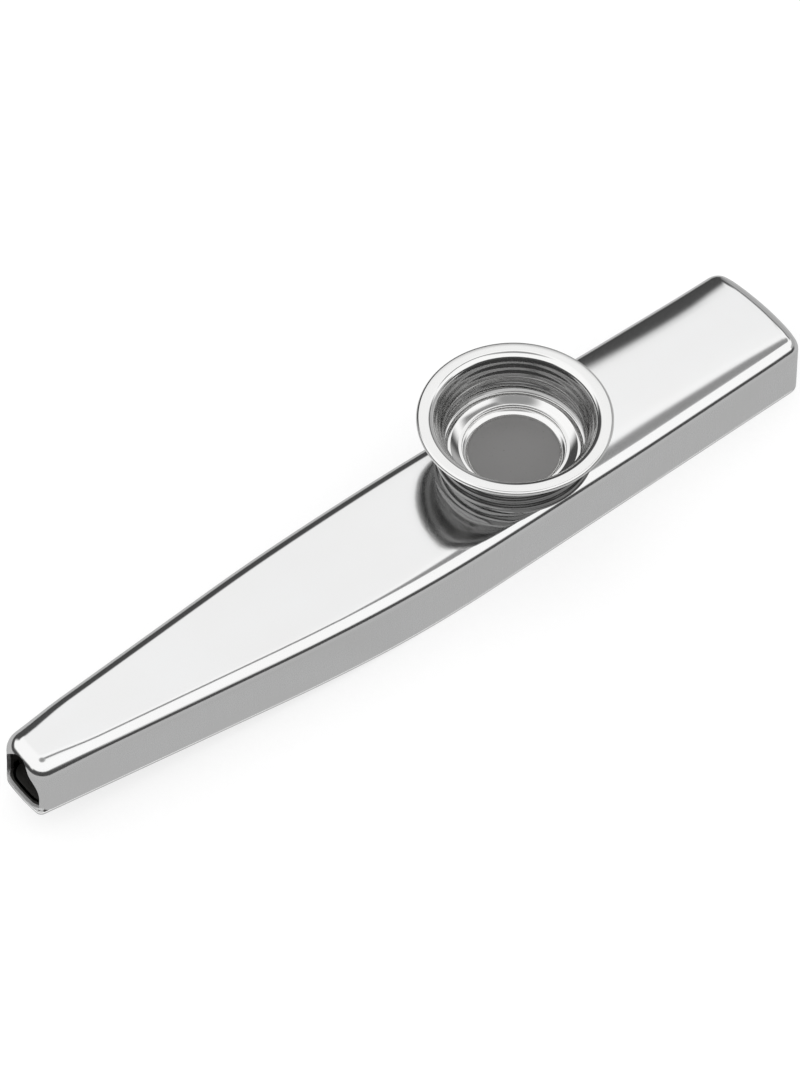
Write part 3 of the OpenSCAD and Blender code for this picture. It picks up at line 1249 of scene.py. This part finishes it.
@dataclass
class Turret:
    """What the turret's parts share: its place, its steps in a turn and its thread."""

    x: float = 17.2
    sheet_z: float = 9.6
    steps: int = 216
    thread: Thread = field(default_factory=Thread)
    rest_gap: float = 0.03
    floor_t: float = 0.42
    seat_h: float = 0.4
    seat_w: float = 0.7
    bore_r: float = 6.2
    film_t: float = 0.1
    ring_h: float = 0.82
    washer_t: float = 0.4

    @property
    def floor_z(self) -> float:
        """Top of the socket's floor."""
        return self.rest_gap + self.floor_t

    @property
    def film_z(self) -> float:
        """Underside of the film."""
        return self.floor_z + self.seat_h + self.rest_gap

    @property
    def ring_z(self) -> float:
        """Underside of the membrane ring."""
        return self.film_z + self.film_t + self.rest_gap

    @property
    def washer_z(self) -> float:
        """Underside of the washer."""
        return self.ring_z + self.ring_h + self.rest_gap

    @property
    def cap_inner_r(self) -> float:
        """Inner radius of the cap's wall above its thread's roots."""
        return self.thread.radius - self.thread.wall_t

    @property
    def cap_foot_r(self) -> float:
        """Inner radius of the cap's plain foot."""
        return self.cap_inner_r - self.thread.wall_t / 3

    @property
    def seat_foot_r(self) -> float:
        """Outer radius of the membrane seat's foot."""
        return self.bore_r + self.seat_w + self.seat_h / 2

    def turn(
        self, name: str, profile: Profile, ends: Spot = (0.0, 1.0), male: bool = True
    ) -> bpy.types.Object:
        """Spins a profile round the turret's axis and rolls its thread.

        Args:
            name: the piece's name.
            profile: its section.
            ends: the thread's lowest and highest point.
            male: true for the cap's thread.

        Returns:
            The turned piece.
        """
        points = profile.points
        away = -self.thread.wall_t if male else self.thread.wall_t

        def place(k: int) -> tuple[Point, Point]:
            """Works out a vertex of the section.

            Args:
                k: the point of the profile.

            Returns:
                Its place and lay.
            """
            r, z, face, dull_and_shade = points[k]
            if face is not Face.PLAIN:
                r = self.thread.radius + (away if face is Face.BACK else 0.0)
            return (self.x + r, 0.0, self.sheet_z + z), (float(face.value), dull_and_shade, 0.0)

        piece = Bench(name, len(points), place).spin(self.x, self.steps).close(FINE_MERGE_MM).off()
        mesh = piece.data
        co, face = read(mesh.vertices, "co"), read(mesh.attributes["lay"].data, "vector")[:, 0]
        rolled = face > 0.5
        angle = np.arctan2(co[:, 1], co[:, 0] - self.x)
        r = self.thread.radii(angle, co[:, 2] - self.sheet_z, ends, male) + np.where(face > 1.5, away, 0.0)
        co[rolled, 0] = self.x + (r * np.cos(angle))[rolled]
        co[rolled, 1] = (r * np.sin(angle))[rolled]
        mesh.vertices.foreach_set("co", co.ravel())
        mesh.update()
        pick(piece)
        bpy.ops.object.mode_set(mode="EDIT")
        face_outwards()
        bpy.ops.object.mode_set(mode="OBJECT")
        return piece


@dataclass
class Socket:
    """The threaded cup that is fixed on the body by its spigot."""

    turret: Turret
    sheet_t: float = 0.4
    spigot_wall: float = 0.4
    lip_w: float = 0.5
    lip_t: float = 0.35
    socket_r: float = 9.45
    round_r: float = 1.2
    height: float = 5.6
    thread_z: float = 1.7
    inner_turn: float = -62.0
    round_steps: int = 14
    inner_steps: int = 8
    run_in: float = 0.3
    bore_run_in: float = 0.2
    bore_ease: float = 0.04
    wall_ease: float = 0.06
    step_ease: float = 0.08
    # How rough the socket's outer round and thread are, and how much painted shade darkens them.
    dull_and_shade: float = 0.95

    def build(self) -> bpy.types.Object:
        """Turns the socket.

        Returns:
            The socket.
        """
        t, thread = self.turret, self.turret.thread
        wall_r = self.socket_r + thread.wall_t
        under = -self.sheet_t - t.rest_gap
        spigot_r = t.bore_r + self.spigot_wall
        step_in = thread.radius + thread.gap + thread.depth
        centre = (wall_r - self.round_r, t.rest_gap + self.round_r)
        inner_r = self.round_r - thread.wall_t
        wall_end = (wall_r + self.wall_ease, self.thread_z - self.run_in)
        thread_start = (step_in + thread.wall_t - self.step_ease, self.thread_z - self.wall_ease)
        last_z = self.height - self.step_ease
        shape = Profile()
        shape.to((t.bore_r, under - self.lip_t), (spigot_r + self.lip_w, under - self.lip_t))
        shape.to((spigot_r + self.lip_w, under), (spigot_r, under), (spigot_r, t.rest_gap))
        shape.to(*arc_points(centre, (self.round_r, self.round_r), -90, 0, self.round_steps), dull_and_shade=self.dull_and_shade)
        shape.to(wall_end, thread_start, dull_and_shade=self.dull_and_shade)
        shape.rows(self.thread_z, last_z, thread.row_step, Face.BACK, self.dull_and_shade)
        shape.to((step_in + thread.wall_t / 2, self.height))
        shape.rows(last_z, self.thread_z, thread.row_step, Face.MATING, self.dull_and_shade)
        shape.to((self.socket_r + self.bore_ease, self.thread_z - self.bore_run_in))
        shape.to(*arc_points(centre, (inner_r, inner_r), 0, self.inner_turn, self.inner_steps))
        shape.to((centre[0], t.floor_z), (t.seat_foot_r, t.floor_z))
        shape.to((t.bore_r + t.seat_w, t.floor_z + t.seat_h), (t.bore_r, t.floor_z + t.seat_h))
        return t.turn("socket_turned", shape, (self.thread_z, self.height), male=False)


@dataclass
class Cap:
    """The screw cap: a threaded collar with a wide flare and a rolled rim."""

    turret: Turret
    rim_r: float = 12.55
    rim_h: float = 8.3
    bead_r: float = 0.4
    thread_z: float = 2.3
    flare_z: float = 5.5
    flange_r: float = 11.2
    flange_drop: float = 0.06
    round_r: float = 1.05
    hook_t: float = 0.22
    hook_w: float = 0.45
    stop_w: float = 0.15
    flare_steps: int = 30
    bead_under: Sweep = (-140.0, -40.0, 10)
    bead_over: Sweep = (-30.0, 84.0, 12)
    stop_steps: int = 8
    run_in: float = 0.1
    ripple: float = 0.022
    ripples: int = 3
    # Rougher metal with painted shade on the threaded wall, cone and bead; the flare's underside gets full
    # painted shade.
    wall_dull_and_shade: float = 0.7
    under_dull_and_shade: float = 1.0
    ease: float = 0.06
    foot_ease: float = 0.05

    def build(self) -> bpy.types.Object:
        """Turns the cap.

        Returns:
            The cap.
        """
        t, thread = self.turret, self.turret.thread
        foot_r = t.cap_foot_r
        hook_z = t.washer_z - t.rest_gap - self.hook_t
        stop_z = t.washer_z + t.washer_t + t.rest_gap
        lip_r = self.rim_r - self.bead_r
        centre = (self.flange_r, self.rim_h - self.flange_drop - self.round_r)
        inner_foot, outer_foot = (t.cap_inner_r, self.flare_z), (thread.radius, self.flare_z)
        outer_r, foot_wall_r = self.round_r - thread.wall_t, foot_r + thread.wall_t
        shape = Profile()
        shape.to((foot_r - self.hook_w, hook_z), (foot_wall_r - self.foot_ease, hook_z))
        shape.to((foot_wall_r, hook_z + self.ease), (foot_wall_r, self.thread_z - self.run_in))
        shape.rows(self.thread_z, self.flare_z, thread.row_step, Face.MATING, self.wall_dull_and_shade)
        outer_turn = 90 + tangent_angle(outer_foot, centre, outer_r)
        shape.to(*straight(outer_foot, centre, outer_r, outer_turn, self.flare_steps), dull_and_shade=self.under_dull_and_shade)
        under = arc_points(centre, (outer_r, outer_r), outer_turn, 90, self.flare_steps)
        shape.to(*under, dull_and_shade=self.under_dull_and_shade)
        bead = (lip_r, self.rim_h - self.bead_r)
        shape.to(*arc_points(bead, (self.bead_r, self.bead_r), *self.bead_under), dull_and_shade=self.wall_dull_and_shade)
        shape.to(*arc_points(bead, (self.bead_r, self.bead_r), *self.bead_over))
        inner_turn = 90 + tangent_angle(inner_foot, centre, self.round_r)
        shape.to(*arc_points(centre, (self.round_r, self.round_r), 90, inner_turn, self.flare_steps))
        cone = straight(inner_foot, centre, self.round_r, inner_turn, self.flare_steps)[::-1]
        for i, (r, z) in enumerate(cone, start=1):
            wave = self.ripple * (1.0 - math.cos(math.tau * self.ripples * i / self.flare_steps))
            shape.to((r - wave * math.sin(math.radians(inner_turn)), z), dull_and_shade=self.wall_dull_and_shade)
        shape.rows(self.flare_z, stop_z + self.hook_t + self.ease, thread.row_step, Face.BACK, self.wall_dull_and_shade)
        stop, half = (foot_r, stop_z + self.hook_t / 2), self.hook_t / 2
        shape.to(*arc_points(stop, (self.stop_w, half), 90, 270, self.stop_steps))
        shape.to((foot_r, hook_z + self.hook_t), (foot_r - self.hook_w, hook_z + self.hook_t))
        return t.turn("cap_turned", shape, (self.thread_z, self.flare_z))


@dataclass
class Washer:
    """The clamp washer with its rounded crown."""

    turret: Turret
    washer_r: float = 6.65
    gap: float = 0.06
    crown_h: float = 0.85
    crown_r: float = 8.35
    crown_w: float = 0.7
    slope_r: float = 7.1
    round_r: float = 0.2
    bore_round_r: float = 0.1
    crest: Sweep = (0.0, 90.0, 10)
    inner_crest: Sweep = (90.0, 113.0, 4)
    bore_turn: Sweep = (75.0, 180.0, 6)
    ease: Spot = (0.05, 0.015)

    def build(self) -> bpy.types.Object:
        """Turns the washer.

        Returns:
            The washer.
        """
        t = self.turret
        edge, base, r, bore = t.cap_foot_r - self.gap, t.washer_z, self.round_r, self.bore_round_r
        flat, top, reach = base + t.washer_t, base + self.crown_h - r, self.crown_w / 2
        shape = Profile()
        shape.to((self.washer_r, base), (edge, base), (edge, flat), (self.crown_r + reach, flat))
        shape.to(*arc_points((self.crown_r + reach - r, top), (r, r), *self.crest))
        shape.to(*arc_points((self.crown_r - reach + r, top), (r, r), *self.inner_crest))
        shape.to((self.slope_r + self.ease[0], flat + self.ease[1]), (self.slope_r - self.ease[0], flat))
        shape.to(*arc_points((self.washer_r + bore, flat - bore), (bore, bore), *self.bore_turn))
        return t.turn("washer_pressed", shape)


@dataclass
class MembraneRing:
    """The ring that holds the film down on its seat."""

    turret: Turret
    ring_r: float = 5.95
    outer_r: float = 8.2
    slope_w: float = 0.6
    slope_h: float = 0.3
    edge_ease: float = 0.06
    slope_ease: Spot = (0.04, 0.02)
    bore_ease: float = 0.05

    def build(self) -> bpy.types.Object:
        """Turns the ring.

        Returns:
            The ring.
        """
        t = self.turret
        base, top = t.ring_z, t.ring_z + t.ring_h
        skirt_r, skirt_z = t.seat_foot_r + t.rest_gap, t.floor_z + t.rest_gap
        shape = Profile()
        shape.to((self.ring_r, base), (skirt_r, base), (skirt_r, skirt_z), (self.outer_r, skirt_z))
        slope_r, slope_z, (over, down) = self.ring_r + self.slope_w, top - self.slope_h, self.slope_ease
        shape.to((self.outer_r, top - self.edge_ease), (self.outer_r - self.edge_ease, top))
        shape.to((slope_r + over, top), (slope_r - over, top - down))
        shape.to((self.ring_r + self.bore_ease, slope_z + down), (self.ring_r, slope_z - self.bore_ease))
        return t.turn("membrane_holder", shape)


@dataclass
class Film:
    """The thin vibrating film."""

    turret: Turret
    lap: float = 0.5
    bulge: float = 0.16
    bulge_shares: tuple[float, ...] = (0.5, 0.3, 0.2)
    ring_step: float = 1.6
    steps: int = 144
    level: float = 0.9

    def build(self) -> bpy.types.Object:
        """Makes the film from a flat disc that stands up slightly in the middle.

        Returns:
            The film.
        """
        t = self.turret
        size = {"vertices": self.steps, "radius": t.bore_r + self.lap, "depth": t.film_t}
        clear_selection()
        place = (t.x, 0.0, t.sheet_z + t.film_z + t.film_t / 2)
        bpy.ops.mesh.primitive_cylinder_add(location=place, **size)
        film = bpy.context.object
        film.name = film.data.name = "membrane_skin"
        bpy.ops.object.transform_apply(location=True, rotation=True, scale=True)
        bpy.ops.object.mode_set(mode="EDIT")
        for way in (1.0, -1.0):
            bpy.ops.mesh.select_mode(type="FACE")
            bpy.ops.mesh.select_all(action="DESELECT")
            mesh = bmesh.from_edit_mesh(film.data)
            for face in mesh.faces:
                face.select = face.normal.z * way > self.level
            bmesh.update_edit_mesh(film.data)
            bpy.ops.mesh.inset(thickness=self.lap)
            for share in self.bulge_shares:
                bpy.ops.mesh.inset(thickness=self.ring_step)
                bpy.ops.transform.translate(value=(0.0, 0.0, self.bulge * share))
        face_outwards()
        bpy.ops.object.mode_set(mode="OBJECT")
        return film


# -------------------------------------------------------------------- the view


@dataclass(frozen=True)
class Region:
    """A soft-edged region of the room: soft steps along named ways, which fall where they end lower."""

    steps: tuple[tuple[str, float, float], ...]
    strength: float = 1.0

    def share(self, ways: dict[str, Value]) -> Value:
        """How much of the region each direction sees.

        Args:
            ways: the parts of the direction by name.

        Returns:
            The share, at most the region's strength.
        """
        product: Value | float = self.strength
        for way, start, end in self.steps:
            step = ways[way].ramp(min(start, end), max(start, end))
            product = product * (step if start < end else 1.0 - step)
        return product


# What the metal sees: dark regions, a card that lightens them, a side held down to the card's grey,
# and a patch ahead a little greyer than the sky.
ABOVE_FLOOR = ("up", -0.3, -0.1)
ROOM = {
    "wall": Region((("away", 0.45, 0.7), ("up", 0.74, 0.62), ABOVE_FLOOR)),
    "card": Region((("right", 0.0, 0.3), ("away", -0.05, 0.25), ("up", 0.62, 0.5), ABOVE_FLOOR)),
    "side": Region((("right", 0.6, 0.8), ("away", -0.3, -0.1), ("up", 0.62, 0.5), ABOVE_FLOOR)),
    "strip": Region((("up", 0.4, 0.27), ABOVE_FLOOR)),
    "behind": Region((("away", -0.5, -0.72), ("up", 0.48, 0.38), ABOVE_FLOOR)),
    "gap": Region((("off_line", 0.12, 0.06), ("up", 0.75, 0.85), ("along", 0.05, 0.25)), 0.8),
    "zenith": Region((("up", 0.955, 0.992),), 0.75),
    "ahead": Region((("away", 0.8, 0.95), ("up", 0.66, 0.75), ("up", 0.92, 0.83))),
}


@dataclass
class Studio:
    """Pale floor, soft light all round, and what the metal sees of the room."""

    white: float = 1.0
    sky: float = 1.05
    sky_ahead: float = 0.97
    dark: float = 0.065
    card: float = 0.42
    side_limit: float = 4.0
    camera_azimuth: float = 38.66
    gap_y: float = 0.02
    floor_seen: float = 0.5
    floor_size: float = 3.0
    floor_z: float = -0.00002
    paper_tone: float = 0.9
    paper_glow: float = 0.62
    paper_matt: float = 0.5
    grains_per_m: float = 900.0
    grain_depth: float = 0.00002

    def _ways(self, g: Graph) -> dict[str, Value]:
        """The parts of a direction that the room's regions are told by.

        Args:
            g: the world's graph.

        Returns:
            The parts: away from the camera and right of it on the level, up, and along the body.
        """
        x, y, z = g.parts(g.add("ShaderNodeTexCoord", output="Generated"))
        turn = math.radians(self.camera_azimuth)
        level = (1.0 - z * z).larger(0.0001) ** 0.5
        away = (x * math.sin(turn) + y * math.cos(turn)) / level
        right = (x * math.cos(turn) - y * math.sin(turn)) / level
        return {"away": away, "right": right, "up": z, "along": x, "off_line": (y - self.gap_y).magnitude()}

    def build_world(self) -> None:
        """Lights the room: white to the camera, even to matt surfaces, a studio to the metal."""
        world = bpy.data.worlds.new("studio")
        bpy.context.scene.world = world
        world.use_nodes = True
        g = Graph(world.node_tree)
        ways = self._ways(g)
        room = {name: region.share(ways) for name, region in ROOM.items()}
        low = room["wall"].larger(room["strip"])
        dark = low.larger(room["behind"]).larger(room["gap"]).larger(room["zenith"])
        sky = room["ahead"] * (self.sky_ahead - self.sky) + self.sky
        seen = dark * (self.dark - sky) + sky
        seen = seen + room["card"] * (self.card - self.dark) * low
        seen = seen.smaller((1.0 - room["side"]) * self.side_limit + self.card)
        path = g.node("ShaderNodeLightPath")
        plain = Value(g, path.outputs["Is Camera Ray"])
        metal = Value(g, path.outputs["Is Glossy Ray"]).larger(Value(g, path.outputs["Is Transmission Ray"]))
        strength = (seen * metal + (1.0 - metal) * self.white) * (1.0 - plain) + plain * self.white
        background = g.node("ShaderNodeBackground", inputs={"Color": grey(1.0), "Strength": strength})
        g.node("ShaderNodeOutputWorld", inputs={"Surface": background.outputs[0]})

    def build_floor(self) -> None:
        """Lays the pale floor: lit paper to the camera, half bright to the metal."""
        clear_selection()
        bpy.ops.mesh.primitive_plane_add(size=self.floor_size, location=(0.0, 0.0, self.floor_z))
        floor = bpy.context.object
        floor.name = "studio_floor"
        paper, g = new_material("pale_floor")
        grain = g.noise(g.add("ShaderNodeTexCoord", output="Object"), self.grains_per_m)
        path = g.node("ShaderNodeLightPath").outputs

        def glow(strength: float) -> bpy.types.NodeSocket:
            """An even light of a strength."""
            return g.node("ShaderNodeEmission", inputs={"Color": grey(1.0), "Strength": strength}).outputs[0]

        def mix(share: object, first: object, second: object) -> bpy.types.NodeSocket:
            """Two shaders mixed by the share of the second."""
            return g.node("ShaderNodeMixShader", inputs={0: share, 1: first, 2: second}).outputs[0]

        normal = g.bump(grain, self.grain_depth)
        paint = {"Color": grey(self.paper_tone), "Normal": normal}
        matt = g.node("ShaderNodeBsdfDiffuse", inputs=paint).outputs[0]
        dimmed = mix(self.paper_matt, glow(0.0), matt)
        shaded = g.node("ShaderNodeAddShader", inputs={0: glow(self.paper_glow), 1: dimmed}).outputs[0]
        unseen = mix(path["Is Glossy Ray"], matt, glow(self.floor_seen))
        surface = mix(path["Is Camera Ray"], unseen, shaded)
        g.node("ShaderNodeOutputMaterial", inputs={"Surface": surface})
        floor.data.materials.append(paper)


@dataclass
class PhotoCamera:
    """The camera at the photograph's viewing angle."""

    azimuth: float = 38.66
    elevation: float = 52.02
    distance: float = 0.5
    target: Point = (-0.00312, -0.00205, 0.0096)
    focal_px: float = 3965.0
    image_h: float = 1091.0
    sensor: float = 36.0
    clip_start: float = 0.01

    def build(self) -> None:
        """Adds the camera and makes it the scene's."""
        turn, lift = math.radians(self.azimuth), math.radians(self.elevation)
        right = Vector((math.cos(turn), -math.sin(turn), 0.0))
        back = Vector((-math.cos(lift) * math.sin(turn), -math.cos(lift) * math.cos(turn), math.sin(lift)))
        up = back.cross(right)
        clear_selection()
        bpy.ops.object.camera_add()
        camera = bpy.context.object
        camera.name = "photo_camera"
        axes = Matrix((right, up, back)).transposed().to_4x4()
        camera.matrix_world = Matrix.Translation(Vector(self.target) + back * self.distance) @ axes
        camera.data.sensor_width = self.sensor
        camera.data.lens = self.focal_px / self.image_h * self.sensor
        camera.data.clip_start = self.clip_start
        bpy.context.scene.camera = camera


def main() -> None:
    """Builds the studio and the kazoo's pieces in order."""
    logging.basicConfig(level=logging.INFO, format="%(message)s")
    bpy.context.scene.view_settings.view_transform = "Standard"
    studio = Studio()
    studio.build_world()
    studio.build_floor()
    PhotoCamera().build()
    form, turret = BodyForm(), Turret()
    mouths, socket = Mouths(form), Socket(turret)
    sheet = SheetFinish().material()
    edge = SheetFinish("sheet_edge", tone=0.8, wall_tone=0.8, top_gloss=0.5, wall_gloss=0.5).material()
    # The inner side's near-black colour is painted shade.
    inside = InsideShadeFinish().material()
    bright = TurnedFinish("turned_metal", turret.x).material()
    film = FilmFinish().material()
    hole_r = turret.bore_r + socket.spigot_wall + turret.rest_gap
    sheets = (
        (UpperShell(form, mouths, turret.x, hole_r), form.head, "upper_shell"),
        (BasePlate(form, mouths), form.plate, "base_plate"),
    )
    for maker, ring, node in sheets:
        lining = Lining(edge, inside, np.array([station.at(0.0) for station in ring]))
        finish_piece(maker.build(), sheet, node, "body", lining)
    turned = (
        (socket, bright, "turret_socket", "body", "turret_metal"),
        (MembraneRing(turret), bright, "membrane_ring", "body", "turret_metal"),
        (Film(turret), film, "membrane_film", "body", "membrane"),
        (Washer(turret), bright, "clamp_washer", "washer", "turret_metal"),
        (Cap(turret), bright, "turret_cap", "cap", "turret_metal"),
    )
    for maker, finish, node, body, slot in turned:
        finish_piece(maker.build(), finish, node, body)


if __name__ == "__main__":
    main()
